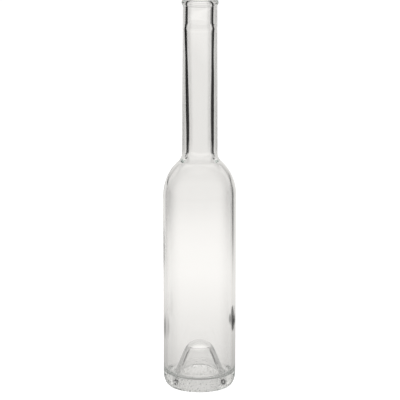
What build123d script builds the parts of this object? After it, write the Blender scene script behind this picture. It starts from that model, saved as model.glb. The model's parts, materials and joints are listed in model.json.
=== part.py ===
from build123d import *
import math
import os

# A clear glass bottle: straight body, domed shoulder, long neck, rounded bead and a deep punt.
# The glass is one moulded piece, so its whole wall is one closed section, turned about the axis.
# Millimetres and degrees, +Z up. The origin is the middle of the bearing ring, on the plane it stands on.

# Whole bottle
height = 318.0
body_radius = 29.5

# Glass thickness
wall = 3.0
punt_crown_thickness = 4.9
floor_thickness = 11.0

# Heel and bearing ring
heel_low_radius = 5.0
heel_high_radius = 20.0
heel_high_turn = 24.0
bearing_width = 1.8
bearing_inner_round = 2.0

# Knurling, the short bars across the bearing ring that the bottle stands on
knurl_count = 60
knurl_height = 0.3
knurl_width = 1.0
knurl_margin = 0.2
knurl_root = 0.4

# Punt, below and inside
punt_height = 32.8
punt_crown_radius = 16.0
punt_crown_turn = 22.0
punt_corner_round = 4.0
inner_dome_radius = 13.5
floor_outer_round = 5.0
floor_inner_round = 2.2

# Shoulder and neck, outside
shoulder_start = 159.3
shoulder_radius = 37.5
neck_foot_round = 9.8
neck_foot_radius = 14.3
neck_lean = 0.3

# Finish, the bead and lip that the mould closes on
bead_under_round = 0.8
bead_proud = 1.0
bead_round = 3.2
bead_upper_turn = 45.0
lip_round = 1.2
mouth_round = 1.5

# Bore, from the mouth down
bore_radius = 9.25
cork_land = 16.0
swell_radius = 10.0
swell_drop = 8.0
throat_radius = 9.0
throat_round = 12.0


def bend(path, radius, turn):
    """Carries the path on round an arc that starts in its direction; a left turn is positive."""
    last = path[-1]
    path.append(JernArc(last @ 1, last % 1, radius, turn))


def run(path, end):
    """Carries the path on in a straight line to a point."""
    path.append(Line(path[-1] @ 1, end))


def ogee_down(path, out, drop):
    """Two equal arcs that start and end straight down, and move the path out by one size over a drop."""
    turn = 2 * math.degrees(math.atan(out / drop))
    radius = drop / (2 * math.sin(math.radians(abs(turn))))
    bend(path, radius, turn)
    bend(path, radius, -turn)


def flank(top_centre, top_radius, foot_centre, foot_radius):
    """The straight flank that touches a round at its top and a foot circle on its other side.

    It returns the angle of the flank's normal above the horizontal, the flank's top and its foot.
    """
    across = foot_centre[0] - top_centre[0]
    down = foot_centre[1] - top_centre[1]
    spread = math.hypot(across, down)
    angle = math.atan2(down, across) + math.acos((top_radius + foot_radius) / spread)
    normal_x = math.cos(angle)
    normal_z = math.sin(angle)
    flank_top = (top_centre[0] + top_radius * normal_x, top_centre[1] + top_radius * normal_z)
    flank_foot = (foot_centre[0] - foot_radius * normal_x, foot_centre[1] - foot_radius * normal_z)
    return math.degrees(angle), flank_top, flank_foot


def shoulder_turn(radius, dome, hollow, neck, lean):
    """How far a shoulder of two touching arcs turns in, from an upright wall to a neck that leans in."""
    lean_share = math.cos(math.radians(lean))
    return math.degrees(math.acos((dome + hollow * lean_share - (radius - neck)) / (dome + hollow)))


def heel_reach():
    """How far the heel's two arcs go out, from the bearing ring's edge to the wall."""
    high_share = math.cos(math.radians(heel_high_turn))
    return heel_low_radius * high_share + heel_high_radius * (1 - high_share)


def bead_turn():
    """The turn from upright out on to the bead, worked out from how proud the bead is."""
    lean_share = math.cos(math.radians(neck_lean))
    proud_share = (bead_under_round * lean_share + bead_round - bead_proud) / (bead_under_round + bead_round)
    return math.degrees(math.acos(proud_share))


def finish_height():
    """From the foot of the bead's under round to the top of the lip."""
    lean = math.sin(math.radians(neck_lean))
    under = math.sin(math.radians(bead_turn()))
    upper = math.sin(math.radians(bead_upper_turn))
    return bead_under_round * (lean + under) + bead_round * (under + upper) + lip_round * (1 - upper)


bearing_edge = body_radius - heel_reach()
bearing_inner = bearing_edge - bearing_width
bearing_middle = bearing_edge - bearing_width / 2
inner_radius = body_radius - wall
inner_dome_top = punt_height + punt_crown_thickness
bead_foot = height - finish_height()


def punt_underside(path):
    """The hollow under the base: a low dome with a tight corner, a conical flank and the ring's inner round."""
    reach = punt_crown_radius - punt_corner_round
    turn = math.radians(punt_crown_turn)
    corner_centre = (reach * math.sin(turn), punt_height - punt_crown_radius + reach * math.cos(turn))
    ring_centre = (bearing_inner, knurl_height + bearing_inner_round)
    lean, flank_top, flank_foot = flank(corner_centre, punt_corner_round, ring_centre, bearing_inner_round)
    path.append(JernArc((0, punt_height), (1, 0), punt_crown_radius, -punt_crown_turn))
    bend(path, punt_corner_round, lean + punt_crown_turn - 90)
    run(path, flank_foot)
    bend(path, bearing_inner_round, 90 - lean)


def heel(path):
    """The flat bearing ring, then a tight arc and a slow one up into the wall."""
    run(path, (bearing_edge, knurl_height))
    bend(path, heel_low_radius, 90 - heel_high_turn)
    bend(path, heel_high_radius, heel_high_turn)


def body_and_shoulder(path):
    """The straight wall, the shoulder's dome and the hollow at the foot of the neck."""
    turn = shoulder_turn(body_radius, shoulder_radius, neck_foot_round, neck_foot_radius, neck_lean)
    run(path, (body_radius, shoulder_start))
    bend(path, shoulder_radius, turn)
    bend(path, neck_foot_round, neck_lean - turn)


def neck_and_finish(path):
    """The neck, which leans in as it rises, and the round bead with its lip."""
    foot = path[-1] @ 1
    neck_top = foot.X - (bead_foot - foot.Y) * math.tan(math.radians(neck_lean))
    run(path, (neck_top, bead_foot))
    bend(path, bead_under_round, -(neck_lean + bead_turn()))
    bend(path, bead_round, bead_turn() + bead_upper_turn)
    bend(path, lip_round, 90 - bead_upper_turn)
    run(path, (bore_radius + mouth_round, height))
    bend(path, mouth_round, 90)


def bore(path):
    """The straight land that grips a cork, the swell below it and the long taper down to the throat."""
    turn = shoulder_turn(inner_radius, shoulder_radius - wall, throat_round, throat_radius, 0)
    throat = shoulder_start + (shoulder_radius - wall + throat_round) * math.sin(math.radians(turn))
    land_foot = height - mouth_round - cork_land
    run(path, (bore_radius, land_foot))
    ogee_down(path, swell_radius - bore_radius, swell_drop)
    run(path, (throat_radius, throat))
    path.append(JernArc((throat_radius, throat), (0, -1), throat_round, turn))
    bend(path, shoulder_radius - wall, -turn)


def body_inside(path):
    """The inner wall, the trough of the floor and the punt's inner side up to the axis."""
    dome_centre = (0, inner_dome_top - inner_dome_radius)
    trough_centre = (inner_radius - floor_outer_round, floor_thickness + floor_inner_round)
    lean, flank_top, flank_foot = flank(dome_centre, inner_dome_radius, trough_centre, floor_inner_round)
    run(path, (inner_radius, floor_thickness + floor_outer_round))
    bend(path, floor_outer_round, -90)
    bend(path, floor_inner_round, lean - 90)
    run(path, flank_top)
    bend(path, inner_dome_radius, 90 - lean)
    run(path, (0, punt_height))


def knurl_bars():
    """The bars, which stand proud of the ring's flat and keep clear of its two borders."""
    length = bearing_width - 2 * knurl_margin
    bar = Box(length, knurl_width, knurl_height + knurl_root, align=(Align.CENTER, Align.CENTER, Align.MIN))
    return PolarLocations(0, knurl_count) * (Pos(bearing_middle, 0, 0) * bar)


def make_bottle():
    """The whole bottle: its wall section turned about the axis, and the knurling under its foot."""
    path = []
    punt_underside(path)
    heel(path)
    body_and_shoulder(path)
    neck_and_finish(path)
    bore(path)
    body_inside(path)
    section = make_face(Curve() + path)
    glass = revolve(Plane.XZ * section, Axis.Z)
    return glass + knurl_bars()


os.makedirs("parts", exist_ok=True)
export_step(make_bottle(), "parts/bottle.step")
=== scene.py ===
"""A clear glass bottle for rendering: the blown wall, the knurled foot, the glass and a pale studio."""

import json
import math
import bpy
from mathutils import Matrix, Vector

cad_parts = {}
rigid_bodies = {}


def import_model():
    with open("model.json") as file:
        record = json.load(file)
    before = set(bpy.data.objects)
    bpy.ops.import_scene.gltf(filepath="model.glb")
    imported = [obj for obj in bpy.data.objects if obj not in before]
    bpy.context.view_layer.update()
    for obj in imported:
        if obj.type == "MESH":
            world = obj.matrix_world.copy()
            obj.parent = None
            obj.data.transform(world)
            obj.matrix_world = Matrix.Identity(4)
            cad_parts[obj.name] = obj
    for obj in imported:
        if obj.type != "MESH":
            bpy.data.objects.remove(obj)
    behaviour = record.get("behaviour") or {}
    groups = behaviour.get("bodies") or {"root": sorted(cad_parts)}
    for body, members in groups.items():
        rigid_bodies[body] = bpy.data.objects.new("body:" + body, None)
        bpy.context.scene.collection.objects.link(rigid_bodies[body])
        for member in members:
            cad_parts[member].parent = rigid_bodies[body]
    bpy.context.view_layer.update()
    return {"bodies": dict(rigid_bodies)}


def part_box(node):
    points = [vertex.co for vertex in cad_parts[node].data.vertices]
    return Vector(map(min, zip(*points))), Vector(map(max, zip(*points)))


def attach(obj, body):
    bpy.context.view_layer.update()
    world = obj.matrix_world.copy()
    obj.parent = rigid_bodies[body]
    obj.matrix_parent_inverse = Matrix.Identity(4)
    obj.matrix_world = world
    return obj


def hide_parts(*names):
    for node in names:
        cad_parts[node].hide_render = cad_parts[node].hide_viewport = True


bl_info = {
    "name": "Clear Glass Bottle",
    "version": (1, 0, 0),
    "blender": (4, 5, 0),
    "location": "3D View > Sidebar > Bottle",
    "description": "Makes a long-necked clear glass bottle with a punted base, and the studio it stands in",
    "category": "Add Mesh",
}

import bpy
import numpy as np
from bpy.props import FloatProperty, FloatVectorProperty, IntProperty, PointerProperty
from mathutils import Euler

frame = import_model()
CAD_NODE = "bottle"
CAD_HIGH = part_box(CAD_NODE)[1]
BODY = next(iter(frame["bodies"]))

# A metre in millimetres, and a quarter turn in radians
METRE = 1000
QUARTER_TURN = math.pi / 2


def length(label, millimetres, words):
    """A property that holds a size in metres, from its value in millimetres."""
    return FloatProperty(name=label, description=words, default=millimetres / METRE,
                         subtype="DISTANCE", unit="LENGTH", precision=5)


def angle(label, degrees, words):
    """A property that holds an angle in radians, from its value in degrees."""
    return FloatProperty(name=label, description=words, default=math.radians(degrees), subtype="ANGLE")


def number(label, value, words):
    """A property that holds a plain number, such as a brightness."""
    return FloatProperty(name=label, description=words, default=value, precision=3)


def tint(label, value, words):
    """A property that holds a colour."""
    return FloatVectorProperty(name=label, description=words, default=value,
                               size=3, subtype="COLOR", min=0, max=1)


class BottleSizes(bpy.types.PropertyGroup):
    """Sizes of the glass wall, outside and inside."""

    height: length("Height", round(CAD_HIGH.z * METRE, 1), "From the standing plane to the top of the lip")
    body_radius: length("Body radius", round(CAD_HIGH.x * METRE, 1), "Outside of the straight body")
    wall: length("Wall", 3.0, "Thickness of the body and shoulder")
    punt_crown_thickness: length("Punt crown thickness", 4.9, "Glass between the two domes on the axis")
    floor_thickness: length("Floor thickness", 11.0, "Lowest inner point above the standing plane")

    heel_low_radius: length("Heel low radius", 5.0, "Tight arc beside the bearing ring")
    heel_high_radius: length("Heel high radius", 20.0, "Slow arc that runs into the wall")
    heel_high_turn: angle("Heel high turn", 24.0, "How far the slow arc turns")
    bearing_width: length("Bearing width", 1.8, "Flat of the bearing ring")
    bearing_inner_round: length("Bearing inner round", 2.0, "Round between the ring and the punt")

    knurl_count: IntProperty(name="Knurl count", description="Bars across the ring", default=60, min=3)
    knurl_height: length("Knurl height", 0.3, "How far the bars stand proud of the ring")
    knurl_reach: length("Knurl reach", 2.6, "Height at which the bars have run out into the rounds")

    punt_height: length("Punt height", 32.8, "Top of the hollow under the base")
    punt_crown_radius: length("Punt crown radius", 16.0, "Shallow crown at the top of that hollow")
    punt_crown_turn: angle("Punt crown turn", 22.0, "How far the crown turns before its corner")
    punt_corner_round: length("Punt corner round", 4.0, "Corner between the crown and the flank")
    inner_dome_radius: length("Inner dome radius", 13.5, "Dome of the punt inside the bottle")
    floor_outer_round: length("Floor outer round", 5.0, "From the inner wall to the floor's trough")
    floor_inner_round: length("Floor inner round", 2.2, "From the trough to the punt's flank")

    shoulder_start: length("Shoulder start", 159.3, "Height at which the shoulder begins")
    shoulder_radius: length("Shoulder radius", 37.5, "Outer dome of the shoulder")
    neck_foot_round: length("Neck foot round", 9.8, "Hollow round at the foot of the neck")
    neck_foot_radius: length("Neck foot radius", 14.3, "Outside of the neck at its foot")
    neck_lean: angle("Neck lean", 0.3, "How far the neck leans in as it rises")

    bead_under_round: length("Bead under round", 0.8, "Hollow round under the bead")
    bead_proud: length("Bead proud", 1.0, "How far the bead stands out from the neck")
    bead_round: length("Bead round", 3.2, "Round of the bead")
    bead_upper_turn: angle("Bead upper turn", 45.0, "Where the bead's round hands over to the lip")
    lip_round: length("Lip round", 1.2, "Outer round of the lip")
    mouth_round: length("Mouth round", 1.5, "Inner round of the lip")

    bore_radius: length("Bore radius", 9.25, "Straight bore that takes the cork")
    cork_land: length("Cork land", 16.0, "Length of that straight bore")
    swell_radius: length("Swell radius", 10.0, "Widest place of the neck's inside, below the land")
    swell_drop: length("Swell drop", 8.0, "Depth over which the bore widens")
    throat_radius: length("Throat radius", 9.0, "Narrowest place, at the foot of the neck")
    throat_round: length("Throat round", 12.0, "Inner round from the throat into the shoulder")


class BottleBlowing(bpy.types.PropertyGroup):
    """What blowing and moulding leave on the glass."""

    bore_wander: length("Bore wander", 0.42, "How far the bore's middle strays sideways below the land")
    bore_narrowing: length("Bore narrowing", 0.45, "How far the bore draws in below the neck's middle")
    wall_thinning: length("Wall thinning", 0.4, "Half of what the left wall loses under the shoulder")
    wave_height: length("Wave height", 0.06, "Slow waves of the inner wall")
    seam_height: length("Seam height", 0.04, "Ridge that the mould's two halves leave, front and back")
    seam_width: length("Seam width", 0.5, "Half width of that ridge")
    stipple_height: length("Stipple height", 1.4, "Strength of the small pits low down on the glass")
    stipple_out: length("Stipple outside", 2.0, "Height to which the pits go outside the ring")
    stipple_in: length("Stipple inside", 20.0, "Height to which they go on the punt")


class GlassLook(bpy.types.PropertyGroup):
    """The glass itself."""

    ior: number("IOR", 1.52, "Index of refraction of soda-lime glass")
    colour: tint("Colour", (0.80, 0.92, 0.88), "What long paths through the glass take on")
    density: number("Density", 2.5, "Absorption per metre of glass")
    shadow: tint("Shadow", (0.955, 0.96, 0.958), "What one surface lets through to lamps")
    # Brightness of the painted dark reflection in the lines beside the bore
    painted_line_dark: number("Line dark", 0.02, "What is left of light in the dark lines beside the bore")


class StudioSettings(bpy.types.PropertyGroup):
    """Camera, floor, lamp and surroundings."""

    camera_distance: length("Camera distance", 1678.4, "Camera to the bottle's axis, level")
    camera_height: length("Camera height", 545.3, "Camera above the floor")
    camera_side: length("Camera side", 0.2, "Camera to the right of the bottle's axis")
    camera_pitch: angle("Camera pitch", 13.091, "How far the camera looks down")
    camera_roll: angle("Camera roll", 0.09, "How far the camera leans")
    focal_length: number("Focal length", 192.19, "Lens in millimetres, on a sensor 36 millimetres wide")
    floor_radius: length("Floor radius", 12000.0, "How far the floor goes")
    floor_gap: length("Floor gap", 0.02, "Floor below the standing plane, so that the two never meet")
    floor_paper: number("Floor paper", 0.8, "Share of the light that the floor gives back")
    floor_glow: number("Floor glow", 0.62, "Light of the floor's own, which brings it to white")
    lamp_power: FloatProperty(name="Lamp power", description="Power of the soft lamp", default=14.0,
                              unit="POWER")
    lamp_size: length("Lamp size", 1400.0, "Side of the soft lamp")
    lamp_height: length("Lamp height", 1900.0, "Lamp above the floor")
    room_light: number("Room light", 0.5, "Brightness of the room where it lights the floor")
    white: number("White", 1.0, "Brightness of the background as the camera sees it")


def arc(pen, radius, turn, steps):
    """An arc that starts where the pen is, in the direction it faces; a left turn is positive.

    The centre lies one radius to the turning side. A point at part a of the turn is the centre plus the
    radius times the direction square to heading + a.
    """
    x, z, heading = pen
    side = math.copysign(radius, turn)
    centre_x = x - side * math.sin(heading)
    centre_z = z + side * math.cos(heading)
    way = heading + turn * np.arange(1, steps + 1) / steps
    points = np.stack([centre_x + side * np.sin(way), centre_z - side * np.cos(way)], axis=1)
    return points, (points[-1, 0], points[-1, 1], heading + turn)


def line(pen, end, steps):
    """A straight run to a point, with its points drawn together at both ends by half a cosine wave."""
    x, z, heading = pen
    along = (1 - np.cos(np.pi * np.arange(1, steps + 1) / steps)) / 2
    points = np.stack([x + (end[0] - x) * along, z + (end[1] - z) * along], axis=1)
    return points, (end[0], end[1], math.atan2(end[1] - z, end[0] - x))


class Outline:
    """Collects the wall's section as a chain of arcs and lines, and names the rows where parts begin."""

    def __init__(self, start, heading):
        self.pen = (start[0], start[1], heading)
        self.parts = [np.array([start])]
        self.marks = {}

    def mark(self, name):
        """Keeps the row of the last point under a name."""
        self.marks[name] = sum(len(part) for part in self.parts) - 1

    def bend(self, radius, turn, steps):
        """Adds an arc."""
        points, self.pen = arc(self.pen, radius, turn, steps)
        self.parts.append(points)

    def run(self, end, steps):
        """Adds a straight run."""
        points, self.pen = line(self.pen, end, steps)
        self.parts.append(points)

    def face(self, heading):
        """Turns the pen where it stands."""
        self.pen = (self.pen[0], self.pen[1], heading)

    def points(self):
        """All points so far, in one array."""
        return np.concatenate(self.parts)


def flank(top_centre, top_radius, foot_centre, foot_radius):
    """The straight flank that touches the outside of a top circle and the other side of a foot circle.

    The angle of its normal above the horizontal is the bearing of the line between the two centres, plus
    the arc cosine of the radii's sum over the distance between them.
    """
    across = foot_centre[0] - top_centre[0]
    down = foot_centre[1] - top_centre[1]
    lean = math.atan2(down, across) + math.acos((top_radius + foot_radius) / math.hypot(across, down))
    normal_x, normal_z = math.cos(lean), math.sin(lean)
    top = (top_centre[0] + top_radius * normal_x, top_centre[1] + top_radius * normal_z)
    foot = (foot_centre[0] - foot_radius * normal_x, foot_centre[1] - foot_radius * normal_z)
    return lean, top, foot


def shoulder_turn(radius, dome, hollow, neck, lean):
    """How far two touching arcs turn in, from an upright wall to a neck that leans in.

    Its cosine, times the sum of the dome's and the hollow's radius, is the dome's radius plus the hollow's
    radius times the cosine of the lean, less what the wall's radius is over the neck's.
    """
    return math.acos((dome + hollow * math.cos(lean) - (radius - neck)) / (dome + hollow))


def bearing_edge(s):
    """The outer radius of the bearing ring, which the heel's two arcs leave of the body's radius."""
    cosine = math.cos(s.heel_high_turn)
    return s.body_radius - s.heel_low_radius * cosine - s.heel_high_radius * (1 - cosine)


def draw_hollow(outline, s):
    """The hollow under the base: a shallow crown, its corner, a straight flank and the ring's round."""
    corner_reach = s.punt_crown_radius - s.punt_corner_round
    corner_centre = (corner_reach * math.sin(s.punt_crown_turn),
                     s.punt_height - s.punt_crown_radius + corner_reach * math.cos(s.punt_crown_turn))
    foot_centre = (bearing_edge(s) - s.bearing_width, s.knurl_height + s.bearing_inner_round)
    lean, _, flank_foot = flank(corner_centre, s.punt_corner_round, foot_centre, s.bearing_inner_round)
    outline.bend(s.punt_crown_radius, -s.punt_crown_turn, steps=6)
    outline.bend(s.punt_corner_round, lean + s.punt_crown_turn - QUARTER_TURN, steps=8)
    outline.run(flank_foot, steps=8)
    outline.bend(s.bearing_inner_round, QUARTER_TURN - lean, steps=8)


def draw_body(outline, s):
    """The ring's flat, a heel of two arcs, the upright wall, the shoulder's dome and the neck's foot."""
    outline.run((bearing_edge(s), s.knurl_height), steps=4)
    outline.mark("heel")
    outline.bend(s.heel_low_radius, QUARTER_TURN - s.heel_high_turn, steps=10)
    outline.bend(s.heel_high_radius, s.heel_high_turn, steps=5)

    turn = shoulder_turn(s.body_radius, s.shoulder_radius, s.neck_foot_round, s.neck_foot_radius,
                         s.neck_lean)
    outline.run((s.body_radius, s.shoulder_start), steps=10)
    outline.bend(s.shoulder_radius, turn, steps=14)
    outline.bend(s.neck_foot_round, s.neck_lean - turn, steps=8)


def draw_finish(outline, s):
    """The leaning neck, the round bead with the hollow round under it, and the lip.

    The hollow round turns out until the bead's widest place stands proud of the neck by the given size. The
    rounds' heights, taken off the bottle's height, give the place where the neck ends.
    """
    under = math.acos((s.bead_under_round * math.cos(s.neck_lean) + s.bead_round - s.bead_proud)
                      / (s.bead_under_round + s.bead_round))
    finish = (s.bead_under_round * (math.sin(s.neck_lean) + math.sin(under))
              + s.bead_round * (math.sin(under) + math.sin(s.bead_upper_turn))
              + s.lip_round * (1 - math.sin(s.bead_upper_turn)))
    bead_foot = s.height - finish
    neck_x, neck_z = outline.pen[:2]
    outline.run((neck_x - (bead_foot - neck_z) * math.tan(s.neck_lean), bead_foot), steps=10)
    outline.bend(s.bead_under_round, -(s.neck_lean + under), steps=5)
    outline.bend(s.bead_round, under + s.bead_upper_turn, steps=12)
    outline.bend(s.lip_round, QUARTER_TURN - s.bead_upper_turn, steps=4)
    outline.run((s.bore_radius + s.mouth_round, s.height), steps=2)
    outline.bend(s.mouth_round, QUARTER_TURN, steps=6)


def draw_bore(outline, s):
    """The straight land for the cork, and the swell below it as an S of two equal arcs."""
    outline.mark("bore")
    outline.run((s.bore_radius, s.height - s.mouth_round - s.cork_land), steps=6)
    swell_turn = 2 * math.atan((s.swell_radius - s.bore_radius) / s.swell_drop)
    swell_round = s.swell_drop / (2 * math.sin(swell_turn))
    outline.bend(swell_round, swell_turn, steps=5)
    outline.bend(swell_round, -swell_turn, steps=5)


def draw_inside(outline, s):
    """The neck's taper, the inner shoulder, the wall, the floor's trough, the flank and the inner dome."""
    inner_radius = s.body_radius - s.wall
    inner_dome = s.shoulder_radius - s.wall
    turn = shoulder_turn(inner_radius, inner_dome, s.throat_round, s.throat_radius, 0)
    throat = s.shoulder_start + (inner_dome + s.throat_round) * math.sin(turn)
    outline.run((s.throat_radius, throat), steps=16)
    outline.face(-QUARTER_TURN)
    outline.bend(s.throat_round, turn, steps=8)
    outline.bend(inner_dome, -turn, steps=14)

    outline.run((inner_radius, s.floor_thickness + s.floor_outer_round), steps=20)
    trough_centre = (inner_radius - s.floor_outer_round, s.floor_thickness + s.floor_inner_round)
    dome_centre = (0, s.punt_height + s.punt_crown_thickness - s.inner_dome_radius)
    lean, flank_top, _ = flank(dome_centre, s.inner_dome_radius, trough_centre, s.floor_inner_round)
    outline.bend(s.floor_outer_round, -QUARTER_TURN, steps=8)
    outline.bend(s.floor_inner_round, lean - QUARTER_TURN, steps=6)
    outline.run(flank_top, steps=6)
    outline.bend(s.inner_dome_radius, QUARTER_TURN - lean, steps=12)


def wall_section(s):
    """The closed wall: out of the hollow, up the outside, over the lip and down the inside to the dome."""
    outline = Outline((0, s.punt_height), 0)
    draw_hollow(outline, s)
    draw_body(outline, s)
    draw_finish(outline, s)
    draw_bore(outline, s)
    draw_inside(outline, s)
    return outline.points(), outline.marks


# Steps round the bottle for each bar of the knurling
STEPS_PER_KNURL = 7

# Middle and width of each change of the inside, as shares of the height
NARROWING_SHARES = (0.71, 0.11)
THINNING_SHARES = (0.47, 0.13)
NECK_STRAY_SHARES = (0.65, 0.1)
LAND_STRAY_WIDTH_SHARE = 0.09

# How far the bore strays back in the lower neck, as a share of its stray below the land
STRAY_BACK_SHARE = 0.35

# The inner wall's waves, which have their full height from this share of the bottle's height up
WAVES_FULL_SHARE = 0.2

# Each wave of the inner wall: strength, count round the bottle, start, and turn over the height in radians
INNER_WAVES = ((1.0, 2, 0.7, 9), (0.6, 3, 2.1, -23), (0.4, 1, -1.0, 41))


def bell(value, middle, width):
    """A smooth hump: e to the power of minus the square of the distance from its middle over its width."""
    return np.exp(-((value - middle) / width) ** 2)


def ease(value, low, high):
    """Rises from 0 at low to 1 at high: three squares less two cubes of the share between them."""
    part = np.clip((value - low) / (high - low), 0, 1)
    return part * part * (3 - 2 * part)


def height_bell(s, height, shares):
    """A bell of the height, whose middle and width are shares of the bottle's height."""
    middle, width = shares
    return bell(height, middle * s.height, width * s.height)


def knurl_drop(s, around, height):
    """How far the bars lower the ring to the standing plane.

    Across a bar it is half of one plus the cosine of the angle within its pitch, and it runs out up the
    rounds on both sides of the ring.
    """
    bar = (1 + np.cos(s.knurl_count * around)) / 2
    return s.knurl_height * bar * (1 - ease(height, s.knurl_height, s.knurl_reach))


def seam_ridge(s, b, around, radius, height):
    """The mould seam, front and back: a bell of the arc length that fades out at the heel and the bead."""
    from_seam = np.abs(np.mod(around, np.pi) - QUARTER_TURN)
    reach = ease(height, 0.0, s.heel_low_radius) * (1 - ease(height, s.height - s.bead_round, s.height))
    return b.seam_height * bell(from_seam * radius, 0, b.seam_width) * reach


def inner_waves(s, b, around, height):
    """Slow waves of the inner wall: a sum of cosines of angle and height, none on the floor and land."""
    top = s.height - s.cork_land
    rising = ease(height, s.floor_thickness + 2 * s.wall, WAVES_FULL_SHARE * s.height)
    reach = rising * (1 - ease(height, top - s.swell_drop, top))
    waves = sum(strength * np.cos(count * around + start + climb * height / s.height)
                for strength, count, start, climb in INNER_WAVES)
    return b.wave_height * reach * waves


def ring_faces(rows, turns):
    """The faces between rings of points, and the fans that close them at two poles, which come last."""
    grid = np.arange(rows * turns).reshape(rows, turns)
    beside = np.roll(grid, -1, axis=1)
    quads = np.stack([grid[:-1], beside[:-1], beside[1:], grid[1:]], axis=2).reshape(-1, 4)
    low_pole = np.full(turns, rows * turns)
    low_fan = np.stack([low_pole, beside[0], grid[0]], axis=1)
    high_fan = np.stack([grid[-1], beside[-1], low_pole + 1], axis=1)
    return [quads, low_fan, high_fan]


def glass_wall(s, b):
    """The wall section turned about the axis on a grid of section points and angles, then worked over.

    A point stands at its radius times the cosine and sine of its angle. The outside has the knurling and
    the mould seam. The inside has slow waves, and bells of the height change it further. One narrows the
    bore below the neck's middle. Two let it stray, to the left below the land and a little to the right in
    the lower neck. One widens the top of the body and moves it left as far, so that the wall is thinnest on
    the left and keeps its thickness on the right.
    """
    section, marks = wall_section(s)
    turns = s.knurl_count * STEPS_PER_KNURL
    around = (2 * np.pi * np.arange(turns) / turns)[None, :]
    radius = np.repeat(section[1:-1, :1], turns, axis=1)
    height = np.repeat(section[1:-1, 1:], turns, axis=1)
    row = np.arange(1, len(section) - 1)[:, None]
    outside = (row > marks["heel"]) & (row < marks["bore"])
    inside = row > marks["bore"]

    height = height - knurl_drop(s, around, height)
    radius = radius + np.where(outside, seam_ridge(s, b, around, radius, height), 0)
    narrowing = b.bore_narrowing * height_bell(s, height, NARROWING_SHARES)
    thinning = b.wall_thinning * height_bell(s, height, THINNING_SHARES)
    radius = radius + np.where(inside, inner_waves(s, b, around, height) - narrowing + thinning, 0)

    swell_foot = s.height - s.mouth_round - s.cork_land - s.swell_drop
    below_land = bell(height, swell_foot, LAND_STRAY_WIDTH_SHARE * s.height)
    in_neck = height_bell(s, height, NECK_STRAY_SHARES)
    stray = b.bore_wander * (STRAY_BACK_SHARE * in_neck - below_land)
    x = radius * np.cos(around) + np.where(inside, stray - thinning, 0)
    y = radius * np.sin(around)

    rings = np.stack([x, y, height], axis=2).reshape(-1, 3)
    poles = [[0, 0, section[0, 1]], [0, 0, section[-1, 1]]]
    return np.concatenate([rings, poles]), ring_faces(len(section) - 2, turns)


def make_mesh(name, points, face_groups):
    """Puts whole arrays of points and faces into a mesh, smooth shaded."""
    mesh = bpy.data.meshes.new(name)
    corners = np.concatenate([faces.reshape(-1) for faces in face_groups]).astype(np.int32)
    counts = np.concatenate([np.full(len(faces), faces.shape[1]) for faces in face_groups])
    starts = np.concatenate([[0], np.cumsum(counts)[:-1]]).astype(np.int32)
    mesh.vertices.add(len(points))
    mesh.vertices.foreach_set("co", points.astype(np.float32).ravel())
    mesh.loops.add(len(corners))
    mesh.loops.foreach_set("vertex_index", corners)
    mesh.polygons.add(len(counts))
    mesh.polygons.foreach_set("loop_start", starts)
    mesh.update(calc_edges=True)
    mesh.validate()
    mesh.shade_smooth()
    piece = bpy.data.objects.new(name, mesh)
    bpy.context.scene.collection.objects.link(piece)
    return piece


def grey(tone):
    """A grey of one brightness, as a colour socket takes it."""
    return (tone, tone, tone, 1)


def new_material(name):
    """An empty node material and its output."""
    material = bpy.data.materials.new(name)
    material.use_nodes = True
    material.node_tree.nodes.clear()
    return material, material.node_tree, material.node_tree.nodes.new("ShaderNodeOutputMaterial")


def add(tree, kind, **values):
    """A shader node with its settings and its sockets' values, under names with underscores for spaces."""
    node = tree.nodes.new(kind)
    for name, value in values.items():
        if hasattr(node, name):
            setattr(node, name, value)
        else:
            node.inputs[name.replace("_", " ")].default_value = value
    return node


def feed(tree, sockets, values):
    """Fills sockets from other sockets, by links, or from plain values."""
    for socket, value in zip(sockets, values):
        if isinstance(value, bpy.types.NodeSocket):
            tree.links.new(value, socket)
        else:
            socket.default_value = value


def maths(tree, operation, *values):
    """One Math node on sockets or plain numbers; it returns the result's socket."""
    node = add(tree, "ShaderNodeMath", operation=operation)
    feed(tree, node.inputs, values)
    return node.outputs[0]


def vector_maths(tree, operation, *values):
    """One Vector Math node on sockets or plain vectors; it returns the node, which has two results."""
    node = add(tree, "ShaderNodeVectorMath", operation=operation)
    feed(tree, node.inputs, values)
    return node


def smooth_step(tree, value, low, high, first=0.0, last=1.0):
    """Goes smoothly from the first number to the last while the value goes from low to high."""
    node = add(tree, "ShaderNodeMapRange", interpolation_type="SMOOTHSTEP")
    feed(tree, node.inputs, (value, low, high, first, last))
    return node.outputs[0]


def tone_ramp(tree, factor, stops, reach=1.0):
    """A grey ramp over stops of place and brightness."""
    ramp = tree.nodes.new("ShaderNodeValToRGB")
    tree.links.new(factor, ramp.inputs[0])
    elements = ramp.color_ramp.elements
    while len(elements) < len(stops):
        elements.new(1.0)
    for element, (place, tone) in zip(elements, stops):
        element.position = place / reach
        element.color = grey(tone)
    return ramp.outputs[0]


def mixed_colour(tree, factor, first, second):
    """One colour mix node between two colours, each a socket or a grey; it returns the result's socket."""
    mix = add(tree, "ShaderNodeMix", data_type="RGBA")
    colours = [grey(value) if isinstance(value, float) else value for value in (first, second)]
    feed(tree, (mix.inputs[0], mix.inputs[6], mix.inputs[7]), (factor, *colours))
    return mix.outputs[2]


def mixed_shader(tree, factor, first, second):
    """One shader mix node between the shaders of two nodes."""
    mix = tree.nodes.new("ShaderNodeMixShader")
    feed(tree, mix.inputs, (factor, first.outputs[0], second.outputs[0]))
    return mix


def ramp_place(tree, value):
    """Brings a value from between -1 and 1 to the reach of a ramp, from 0 to 1."""
    return maths(tree, "MULTIPLY_ADD", value, 0.5, 0.5)


def object_place(tree):
    """A point's place in the piece's own coordinates, in metres."""
    return tree.nodes.new("ShaderNodeTexCoord").outputs["Object"]


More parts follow.
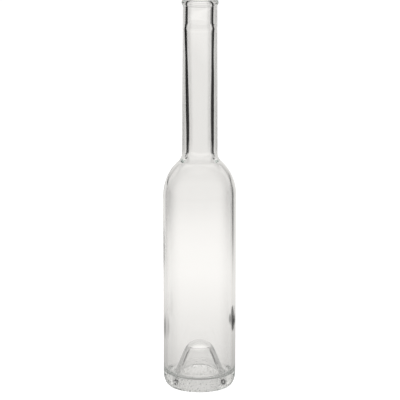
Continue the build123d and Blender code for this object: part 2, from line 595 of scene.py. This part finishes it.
def light_path(tree, name):
    """One of the facts that Light Path tells of a ray."""
    return tree.nodes.new("ShaderNodeLightPath").outputs[name]


def through_glass(tree):
    """1 for light that comes by way of the glass, mirrored or bent, and 0 for other light."""
    bent = light_path(tree, "Is Transmission Ray")
    return maths(tree, "MAXIMUM", light_path(tree, "Is Glossy Ray"), bent)


def mirrored(tree):
    """1 for light that the surface or the inside of the glass has mirrored, and 0 for other light."""
    return maths(tree, "GREATER_THAN", light_path(tree, "Glossy Depth"), 0.0)


# Between these two values of Facing the bore shows a painted dark reflection as a line, each stop at a
# share of the bottle's height
PAINTED_LINE_BEGINS = ((0.597, 0.4), (0.6, 0.37), (0.645, 0.247), (0.85, 0.247), (0.93, 0.282))
PAINTED_LINE_ENDS = ((0.6, 0.38), (0.645, 0.41), (0.72, 0.43), (0.8, 0.405), (0.86, 0.358), (0.93, 0.381))

# Painted edge shade: what the glass's colour lets through at each value of Facing, from 0 where it faces
# the eye to 1 at its edge
PAINTED_EDGE_SHADE_TONES = ((0.14, 1.0), (0.22, 0.98), (0.27, 0.93), (0.33, 0.87), (0.4, 0.83), (0.52, 0.8), (0.62, 0.93),
              (0.75, 1.0))

# The power to which that painted shade is raised at each share of the bottle's height
PAINTED_EDGE_SHADE_STRENGTHS = ((0.0, 0.67), (0.2, 0.5), (0.3, 0.33), (0.4, 0.5), (0.5, 1.0), (0.55, 0.9), (0.57, 0.15),
                  (0.605, 0.15), (0.64, 1.6))

# The scale of the noise that makes the small pits, and the value above which they stand out
PIT_SCALE = 700.0
PIT_EDGE = 0.56


def painted_neck_line(tree, from_axis, rise, facing, backfacing, sizes):
    """1 where the bore mirrors light from inside the glass at the slant of the neck's dark lines, and takes
    a painted dark reflection there.

    The lines lie between two values of Facing, which change with the height and meet above the neck's foot.
    """
    after = maths(tree, "GREATER_THAN", facing, tone_ramp(tree, rise, PAINTED_LINE_BEGINS))
    before = maths(tree, "LESS_THAN", facing, tone_ramp(tree, rise, PAINTED_LINE_ENDS))
    on_bore = maths(tree, "LESS_THAN", from_axis, (sizes.swell_radius + sizes.neck_foot_radius) / 2)
    return maths(tree, "MULTIPLY", maths(tree, "MULTIPLY", after, before),
                 maths(tree, "MULTIPLY", backfacing, on_bore))


def stippled(tree, place, from_axis, sizes, blowing):
    """A normal with small pits, low down outside the ring and further up on the punt.

    The pits are what stands above the edge value of a noise. They fade out with the height, which is
    lowered on the punt by as much as the pits go further up there.
    """
    grain = add(tree, "ShaderNodeTexNoise", Scale=PIT_SCALE, Detail=1.0)
    tree.links.new(object_place(tree), grain.inputs["Vector"])
    pits = maths(tree, "MAXIMUM", maths(tree, "SUBTRACT", grain.outputs["Fac"], PIT_EDGE), 0.0)

    beneath = maths(tree, "LESS_THAN", from_axis, sizes.body_radius - sizes.heel_low_radius - sizes.wall)
    drop = maths(tree, "MULTIPLY", beneath, blowing.stipple_in - blowing.stipple_out)
    lowered = maths(tree, "SUBTRACT", place.outputs["Z"], drop)
    fade = smooth_step(tree, lowered, blowing.stipple_out / 2, blowing.stipple_out, first=1.0, last=0.0)
    bump = add(tree, "ShaderNodeBump", Strength=1.0, Distance=blowing.stipple_height)
    tree.links.new(maths(tree, "MULTIPLY", pits, fade), bump.inputs["Height"])
    return bump.outputs[0]


def clear_glass(look, sizes, blowing):
    """Soda-lime glass: it bends, mirrors and slightly absorbs, and lamps shine through it.

    Towards its edges a painted shade darkens the wall's colour where light enters, which stands for the
    grey that a round of clear glass shows there. Beside the bore a painted dark reflection makes a dark
    line on each side, and the foot has small pits.
    """
    material, tree, output = new_material("clear_glass")
    facing = tree.nodes.new("ShaderNodeLayerWeight").outputs["Facing"]
    backfacing = tree.nodes.new("ShaderNodeNewGeometry").outputs["Backfacing"]
    place = tree.nodes.new("ShaderNodeSeparateXYZ")
    tree.links.new(object_place(tree), place.inputs[0])
    rise = maths(tree, "DIVIDE", place.outputs["Z"], sizes.height)
    from_axis = maths(tree, "SQRT", maths(tree, "ADD", maths(tree, "POWER", place.outputs["X"], 2.0),
                                          maths(tree, "POWER", place.outputs["Y"], 2.0)))

    glass = add(tree, "ShaderNodeBsdfPrincipled", Roughness=0.0, IOR=look.ior, Transmission_Weight=1.0)
    # Painted shade: the glass's colour darkens towards its edges on the faces where light enters
    edge = maths(tree, "POWER", tone_ramp(tree, facing, PAINTED_EDGE_SHADE_TONES), tone_ramp(tree, rise, PAINTED_EDGE_SHADE_STRENGTHS))
    tree.links.new(mixed_colour(tree, backfacing, edge, 1.0), glass.inputs["Base Color"])
    tree.links.new(stippled(tree, place, from_axis, sizes, blowing), glass.inputs["Normal"])

    # Painted dark reflection: a near-black mirror that takes the glass's place on the lines beside the bore
    dark = add(tree, "ShaderNodeBsdfAnisotropic", Roughness=0.0, Color=grey(look.painted_line_dark))
    painted_lines = mixed_shader(tree, painted_neck_line(tree, from_axis, rise, facing, backfacing, sizes), glass, dark)
    shadow = add(tree, "ShaderNodeBsdfTransparent", Color=(*look.shadow, 1))
    surface = mixed_shader(tree, light_path(tree, "Is Shadow Ray"), painted_lines, shadow)
    absorb = add(tree, "ShaderNodeVolumeAbsorption", Color=(*look.colour, 1), Density=look.density)
    tree.links.new(surface.outputs[0], output.inputs["Surface"])
    tree.links.new(absorb.outputs[0], output.inputs["Volume"])
    return material


# Painted light and shade on the floor, seen only by way of the glass, each stop at a distance from the
# bottle in metres, up to the reach
FLOOR_TONE_REACH = 2.5
FLOOR_BENT_PAINTED_LIGHT = ((0.0, 0.72), (0.06, 0.76), (0.12, 0.84), (0.34, 1.0), (0.44, 1.0), (0.53, 0.97),
                    (0.67, 0.88), (0.95, 0.83), (1.4, 0.84), (1.63, 0.9), (1.9, 0.91), (2.05, 0.98),
                    (2.16, 0.97), (2.26, 0.9))
# Mirrored light sees a painted shadow close under the bottle
FLOOR_MIRRORED_PAINTED_LIGHT = ((0.0, 0.3), (0.026, 0.3), (0.05, 0.5), (0.19, 0.65), (0.29, 0.8), (0.49, 0.8),
                        (0.9, 0.76))

# Painted dark spots on the floor, which only the glass shows, as dark reflections: middle, radius of the
# full tone, radius at which it ends, tone
FLOOR_PAINTED_DARK_SPOTS = (((0.093, 0.181), 0.012, 0.024, 0.04), ((0.152, 0.152), 0.038, 0.046, 0.04),
               ((-0.105, 0.147), 0.012, 0.045, 0.3))

# The way along the pale sweep, and the floor's tones from 0, the opposite way, to 1, this way
SWEEP_WAY = (-0.05, 1.0, 0.0)
SWEEP_TONES = ((0.5, 0.8), (0.63, 0.5), (0.75, 0.05), (0.84, 0.08), (0.87, 0.3), (0.887, 0.6), (0.905, 0.9),
               (0.93, 1.0))

# The distances at which the dark sides of the sweep begin and are full
SIDES_BEGIN = (0.3, 0.68)

# The room's tones by way of the glass, each stop at a height from 0, straight down, to 1, straight up
BENT_ROOM_TONES = ((0.0, 0.84), (0.56, 0.84), (0.6, 0.66), (0.73, 0.66), (0.8, 0.84))
OTHER_ROOM_TONES = ((0.0, 0.6), (0.9, 0.8), (0.97, 1.1))
BESIDE_ROOM_TONES = ((0.0, 0.6), (0.49, 0.6), (0.5, 0.15), (0.53, 0.15), (0.54, 0.55), (0.74, 0.55),
                     (0.76, 0.1), (0.85, 0.1), (0.92, 0.8), (0.97, 1.1))
AHEAD_ROOM_TONES = ((0.0, 0.4), (0.47, 0.5), (0.5, 0.75), (0.7, 0.8), (0.78, 1.0), (0.95, 1.15))

# Where the tones beside take over from the others, at a place from 0, straight back, to 1, straight ahead
BESIDE_SHARES = ((0.68, 0.0), (0.75, 1.0))

# The cosines of the turn from straight ahead at which the tones ahead begin and are full
AHEAD_COSINES = (0.85, 0.97)

# The colour of the studio's light as the glass shows it
WARMTH = (1.0, 0.982, 0.955)


def warmth_group():
    """A node group that gives a colour the warmth of the studio's light: the product of the two."""
    group = bpy.data.node_groups.new("studio_warmth", "ShaderNodeTree")
    for name in ("Colour", "Warmth"):
        group.interface.new_socket(name, in_out="INPUT", socket_type="NodeSocketColor")
    group.interface.new_socket("Warmed", in_out="OUTPUT", socket_type="NodeSocketColor")
    given = group.nodes.new("NodeGroupInput")
    result = group.nodes.new("NodeGroupOutput")
    product = add(group, "ShaderNodeMix", data_type="RGBA", blend_type="MULTIPLY")
    feed(group, (product.inputs[0], product.inputs[6], product.inputs[7]),
         (1.0, given.outputs["Colour"], given.outputs["Warmth"]))
    group.links.new(product.outputs[2], result.inputs["Warmed"])
    return group


def warmed(tree, colour, group):
    """The slight warmth of the studio's light in what is seen through the glass."""
    node = add(tree, "ShaderNodeGroup", node_tree=group)
    feed(tree, (node.inputs["Colour"], node.inputs["Warmth"]), (colour, (*WARMTH, 1)))
    return node.outputs["Warmed"]


def painted_dark_spot(tree, tone, centre, inner, outer, dark):
    """Paints a dark spot into a tone round a place on the floor, fully to the inner radius and less to the
    outer one.
    """
    away = vector_maths(tree, "DISTANCE", object_place(tree), (*centre, 0)).outputs["Value"]
    return mixed_colour(tree, smooth_step(tree, away, inner, outer), dark, tone)


def side_shade(tree, distance):
    """The dark sides of the studio, left and right of the pale sweep, from a distance on."""
    way = vector_maths(tree, "NORMALIZE", object_place(tree)).outputs["Vector"]
    ahead = vector_maths(tree, "DOT_PRODUCT", way, SWEEP_WAY).outputs["Value"]
    side = tone_ramp(tree, ramp_place(tree, ahead), SWEEP_TONES)
    return mixed_colour(tree, smooth_step(tree, distance, *SIDES_BEGIN), 1.0, side)


def pale_floor(studio, warmth):
    """White paper with the bottle's shadow, and painted light and shade where it is seen by way of the
    glass.

    That painted light and shade changes with the distance from the bottle, and differs for bent and for
    mirrored light. The floor's painted dark sides and its small painted dark spots are theirs alone, and so
    is the warmth.
    """
    material, tree, output = new_material("pale_floor")
    distance = vector_maths(tree, "LENGTH", object_place(tree)).outputs["Value"]
    reach = maths(tree, "DIVIDE", distance, FLOOR_TONE_REACH)
    # Painted light and shade, seen only by way of the glass: darker near the bottle, brighter further off
    bent_painted_light = tone_ramp(tree, reach, FLOOR_BENT_PAINTED_LIGHT, FLOOR_TONE_REACH)
    mirrored_painted_light = tone_ramp(tree, reach, FLOOR_MIRRORED_PAINTED_LIGHT, FLOOR_TONE_REACH)
    tone = mixed_colour(tree, mirrored(tree), bent_painted_light, mirrored_painted_light)
    tone = maths(tree, "MULTIPLY", tone, side_shade(tree, distance))
    # Painted dark spots, seen only by way of the glass as dark reflections
    for painted_spot in FLOOR_PAINTED_DARK_SPOTS:
        tone = painted_dark_spot(tree, tone, *painted_spot)
    by_glass = add(tree, "ShaderNodeEmission", Strength=1.0)
    tree.links.new(warmed(tree, tone, warmth), by_glass.inputs["Color"])

    paper = add(tree, "ShaderNodeBsdfDiffuse", Color=grey(studio.floor_paper))
    glow = add(tree, "ShaderNodeEmission", Color=grey(1.0), Strength=studio.floor_glow * studio.white)
    lit = tree.nodes.new("ShaderNodeAddShader")
    feed(tree, lit.inputs, (paper.outputs[0], glow.outputs[0]))
    surface = mixed_shader(tree, through_glass(tree), lit, by_glass)
    tree.links.new(surface.outputs[0], output.inputs["Surface"])
    return material


def pale_room(studio, warmth):
    """White to the camera, a plain grey to the floor, and other tones by way of the glass.

    Those tones change with the height of the direction, alike all round for bent light. Mirrored light has
    one row of tones straight ahead, one beside it, and one for the rest of the room.
    """
    world = bpy.data.worlds.new("pale_room")
    world.use_nodes = True
    tree = world.node_tree
    tree.nodes.clear()
    output = tree.nodes.new("ShaderNodeOutputWorld")
    background = tree.nodes.new("ShaderNodeBackground")
    way = tree.nodes.new("ShaderNodeSeparateXYZ")
    tree.links.new(tree.nodes.new("ShaderNodeTexCoord").outputs["Generated"], way.inputs[0])
    rise = ramp_place(tree, way.outputs["Z"])
    level = maths(tree, "SQRT", maths(tree, "SUBTRACT", 1.0, maths(tree, "POWER", way.outputs["Z"], 2.0)))
    ahead = maths(tree, "DIVIDE", way.outputs["Y"], level)

    beside = tone_ramp(tree, ramp_place(tree, ahead), BESIDE_SHARES)
    tones = mixed_colour(tree, beside, tone_ramp(tree, rise, OTHER_ROOM_TONES),
                         tone_ramp(tree, rise, BESIDE_ROOM_TONES))
    tones = mixed_colour(tree, smooth_step(tree, ahead, *AHEAD_COSINES), tones,
                         tone_ramp(tree, rise, AHEAD_ROOM_TONES))
    tones = mixed_colour(tree, mirrored(tree), tone_ramp(tree, rise, BENT_ROOM_TONES), tones)
    unseen = mixed_colour(tree, through_glass(tree), studio.room_light, warmed(tree, tones, warmth))
    colour = mixed_colour(tree, light_path(tree, "Is Camera Ray"), unseen, studio.white)
    tree.links.new(colour, background.inputs["Color"])
    tree.links.new(background.outputs[0], output.inputs["Surface"])
    return world


# The camera's sensor in millimetres, and the nearest and farthest that it sees in metres
SENSOR_WIDTH = 36
NEAREST_SEEN = 0.05
FARTHEST_SEEN = 100

# How often light may be bent or mirrored on its way through the glass
LIGHT_BOUNCES = 64


def make_floor(studio, warmth):
    """One wide flat square under the bottle."""
    reach = studio.floor_radius
    low = -studio.floor_gap
    corners = [[-reach, -reach, low], [reach, -reach, low], [reach, reach, low], [-reach, reach, low]]
    floor = make_mesh("floor", np.array(corners), [np.array([[0, 1, 2, 3]])])
    floor.data.materials.append(pale_floor(studio, warmth))


def hang_lamp(scene, studio):
    """A wide soft lamp over the bottle, which the glass doesn't show."""
    lamp = bpy.data.lights.new("soft_lamp", "AREA")
    lamp.energy = studio.lamp_power
    lamp.size = studio.lamp_size
    hung = bpy.data.objects.new("soft_lamp", lamp)
    hung.location = (0, 0, studio.lamp_height)
    hung.visible_glossy = False
    hung.visible_transmission = False
    scene.collection.objects.link(hung)


def set_camera(scene, studio):
    """A long lens that looks down at the bottle from the front."""
    lens = bpy.data.cameras.new("camera")
    lens.lens = studio.focal_length
    lens.sensor_width = SENSOR_WIDTH
    lens.clip_start = NEAREST_SEEN
    lens.clip_end = FARTHEST_SEEN
    camera = bpy.data.objects.new("camera", lens)
    camera.location = (studio.camera_side, -studio.camera_distance, studio.camera_height)
    pitched = Euler((QUARTER_TURN - studio.camera_pitch, 0, 0)).to_matrix()
    rolled = Euler((0, 0, studio.camera_roll)).to_matrix()
    camera.rotation_euler = (pitched @ rolled).to_euler()
    scene.collection.objects.link(camera)
    scene.camera = camera


class BOTTLE_OT_glass(bpy.types.Operator):
    """Makes the glass bottle, which stands for the bottle of the frame"""

    bl_idname = "bottle.glass"
    bl_label = "Bottle Glass"

    def execute(self, context):
        scene = context.scene
        sizes, blowing = scene.bottle_sizes, scene.bottle_blowing
        points, faces = glass_wall(sizes, blowing)
        piece = make_mesh("bottle_glass", points, faces)
        piece.data.materials.append(clear_glass(scene.bottle_look, sizes, blowing))
        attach(piece, BODY)
        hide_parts(CAD_NODE)
        return {"FINISHED"}


class BOTTLE_OT_studio(bpy.types.Operator):
    """Makes the floor, the room's light, the soft lamp and the camera"""

    bl_idname = "bottle.studio"
    bl_label = "Bottle Studio"

    def execute(self, context):
        scene = context.scene
        studio = scene.bottle_studio
        warmth = warmth_group()
        make_floor(studio, warmth)
        scene.world = pale_room(studio, warmth)
        hang_lamp(scene, studio)
        set_camera(scene, studio)
        scene.view_settings.view_transform = "Standard"
        scene.cycles.max_bounces = LIGHT_BOUNCES
        scene.cycles.glossy_bounces = LIGHT_BOUNCES
        scene.cycles.transmission_bounces = LIGHT_BOUNCES
        return {"FINISHED"}


class VIEW3D_PT_bottle(bpy.types.Panel):
    """Lists the steps and the sizes"""

    bl_label = "Bottle"
    bl_idname = "VIEW3D_PT_bottle"
    bl_space_type = "VIEW_3D"
    bl_region_type = "UI"
    bl_category = "Bottle"

    def draw(self, context):
        layout = self.layout
        for operator in OPERATORS:
            layout.operator(operator.bl_idname)
        for holder in PROPERTY_HOLDERS:
            group = getattr(context.scene, holder)
            for name in group.__annotations__:
                layout.prop(group, name)


OPERATORS = (BOTTLE_OT_glass, BOTTLE_OT_studio)
PROPERTY_HOLDERS = {
    "bottle_sizes": BottleSizes,
    "bottle_blowing": BottleBlowing,
    "bottle_look": GlassLook,
    "bottle_studio": StudioSettings,
}
CLASSES = (*PROPERTY_HOLDERS.values(), *OPERATORS, VIEW3D_PT_bottle)


def register():
    """Registers the classes, and puts the settings on the scene."""
    for each in CLASSES:
        bpy.utils.register_class(each)
    for name, group in PROPERTY_HOLDERS.items():
        setattr(bpy.types.Scene, name, PointerProperty(type=group))


def unregister():
    """Takes the settings off the scene, and the classes out."""
    for name in PROPERTY_HOLDERS:
        delattr(bpy.types.Scene, name)
    for each in reversed(CLASSES):
        bpy.utils.unregister_class(each)


def main():
    """Makes everything."""
    register()
    bpy.ops.bottle.glass()
    bpy.ops.bottle.studio()


if __name__ == "__main__":
    main()
